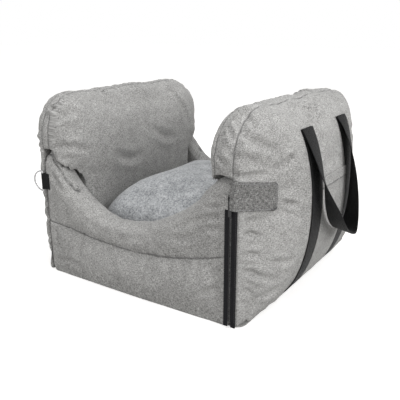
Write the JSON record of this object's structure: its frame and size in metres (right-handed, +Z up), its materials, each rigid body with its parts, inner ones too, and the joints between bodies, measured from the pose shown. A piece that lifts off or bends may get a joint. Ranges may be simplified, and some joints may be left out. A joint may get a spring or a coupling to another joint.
{
  "type": "dog car seat",
  "caption": "Padded car seat and bed for a dog: tall bolsters front and rear, low scooped side walls, a domed cushion, corner zips that let the front fold down, and webbing carry handles.",
  "frame": {"origin": "on the floor, under the middle of the seat", "axes": "+X towards the zipped front bolster, +Y towards the far side wall, +Z up"},
  "size_m": [0.7652, 0.5676, 0.41],
  "materials": {
    "linen": "heather grey linen-look weave",
    "plush": "short blue-grey plush",
    "webbing": "black ribbed webbing",
    "zip_tape": "black woven tape",
    "nylon": "satin",
    "dark_metal": "satin black",
    "steel": "polished",
    "foam": "open foam",
    "filling": "fibre filling",
    "hook_cloth": "hook and loop cloth"
  },
  "bodies": {
    "root": {"base_fabric": "linen", "base_foam": "foam", "base_lining": "linen", "near_wall_cover": "linen", "near_wall_foam": "foam", "far_wall_cover": "linen", "far_wall_foam": "foam", "rear_bolster_cover": "linen", "rear_bolster_filling": "filling", "rear_strap_near": "webbing", "rear_strap_far": "webbing", "zip_near_wall_tape": "zip_tape", "zip_near_wall_coil": "nylon", "zip_near_top_stop": "nylon", "zip_near_foot_stop": "nylon", "zip_far_wall_tape": "zip_tape", "zip_far_wall_coil": "nylon", "zip_far_top_stop": "nylon", "zip_far_foot_stop": "nylon", "d_ring_loop_near": "webbing", "d_ring_loop_far": "webbing"},
    "front_bolster": {"front_bolster_cover": "linen", "front_bolster_filling": "filling", "front_pocket": "linen", "front_strap_near": "webbing", "front_strap_far": "webbing", "zip_near_bolster_tape": "zip_tape", "zip_near_bolster_coil": "nylon", "zip_far_bolster_tape": "zip_tape", "zip_far_bolster_coil": "nylon", "tab_near_seam": "linen", "tab_near_loop_patch": "hook_cloth", "tab_far_seam": "linen", "tab_far_loop_patch": "hook_cloth"},
    "cushion": {"cushion_cover": "plush", "cushion_filling": "filling"},
    "front_handle": {"front_handle": "webbing"},
    "rear_handle": {"rear_handle": "webbing"},
    "near_slider": {"zip_near_slider": "dark_metal"},
    "far_slider": {"zip_far_slider": "dark_metal"},
    "near_pull": {"zip_near_pull": "dark_metal"},
    "far_pull": {"zip_far_pull": "dark_metal"},
    "near_tab": {"tab_near": "linen", "tab_near_hook_patch": "hook_cloth"},
    "far_tab": {"tab_far": "linen", "tab_far_hook_patch": "hook_cloth"},
    "near_ring": {"d_ring_near": "steel"},
    "far_ring": {"d_ring_far": "steel"}
  },
  "joints": [
    {"name": "front_bolster_fold", "type": "hinge", "parent": "root", "child": "front_bolster", "pos_m": [0.269, 0, 0.003], "axis": [0, 1, 0], "range_deg": [0, 90]},
    {"name": "near_slider_travel", "type": "slide", "parent": "root", "child": "near_slider", "axis": [0, 0, 1], "range_m": [-0.22, 0]},
    {"name": "far_slider_travel", "type": "slide", "parent": "root", "child": "far_slider", "axis": [0, 0, 1], "range_m": [-0.22, 0]},
    {"name": "near_pull_swing", "type": "hinge", "parent": "near_slider", "child": "near_pull", "pos_m": [0.241, -0.2758, 0.248], "axis": [-1, 0, 0], "range_deg": [0, 60]},
    {"name": "far_pull_swing", "type": "hinge", "parent": "far_slider", "child": "far_pull", "pos_m": [0.241, 0.2758, 0.248], "axis": [1, 0, 0], "range_deg": [0, 60]},
    {"name": "near_tab_swing", "type": "hinge", "parent": "front_bolster", "child": "near_tab", "pos_m": [0.2422, -0.2788, 0.258], "axis": [0, 0, -1], "range_deg": [0, 150]},
    {"name": "far_tab_swing", "type": "hinge", "parent": "front_bolster", "child": "far_tab", "pos_m": [0.2422, 0.2788, 0.258], "axis": [0, 0, 1], "range_deg": [0, 150]},
    {"name": "front_handle_swing", "type": "hinge", "parent": "front_bolster", "child": "front_handle", "pos_m": [0.30065, 0, 0.364], "axis": [0, -1, 0], "range_deg": [0, 150]},
    {"name": "rear_handle_swing", "type": "hinge", "parent": "root", "child": "rear_handle", "pos_m": [-0.30065, 0, 0.364], "axis": [0, 1, 0], "range_deg": [0, 150]},
    {"name": "near_ring_swing", "type": "hinge", "parent": "root", "child": "near_ring", "pos_m": [-0.2425, -0.27365, 0.2175], "axis": [0, 0, 1], "range_deg": [0, 150]},
    {"name": "far_ring_swing", "type": "hinge", "parent": "root", "child": "far_ring", "pos_m": [-0.2425, 0.27365, 0.2175], "axis": [0, 0, -1], "range_deg": [0, 150]},
    {"name": "cushion_lift", "type": "slide", "parent": "root", "child": "cushion", "axis": [0, 0, 1], "range_m": [0, 0.25]}
  ],
  "couplings": [
    {"joint": "near_slider_travel", "follows": "front_bolster_fold", "m_per_rad": -0.14},
    {"joint": "far_slider_travel", "follows": "front_bolster_fold", "m_per_rad": -0.14},
    {"joint": "near_pull_swing", "follows": "front_bolster_fold", "ratio": 0.66},
    {"joint": "far_pull_swing", "follows": "front_bolster_fold", "ratio": 0.66}
  ]
}
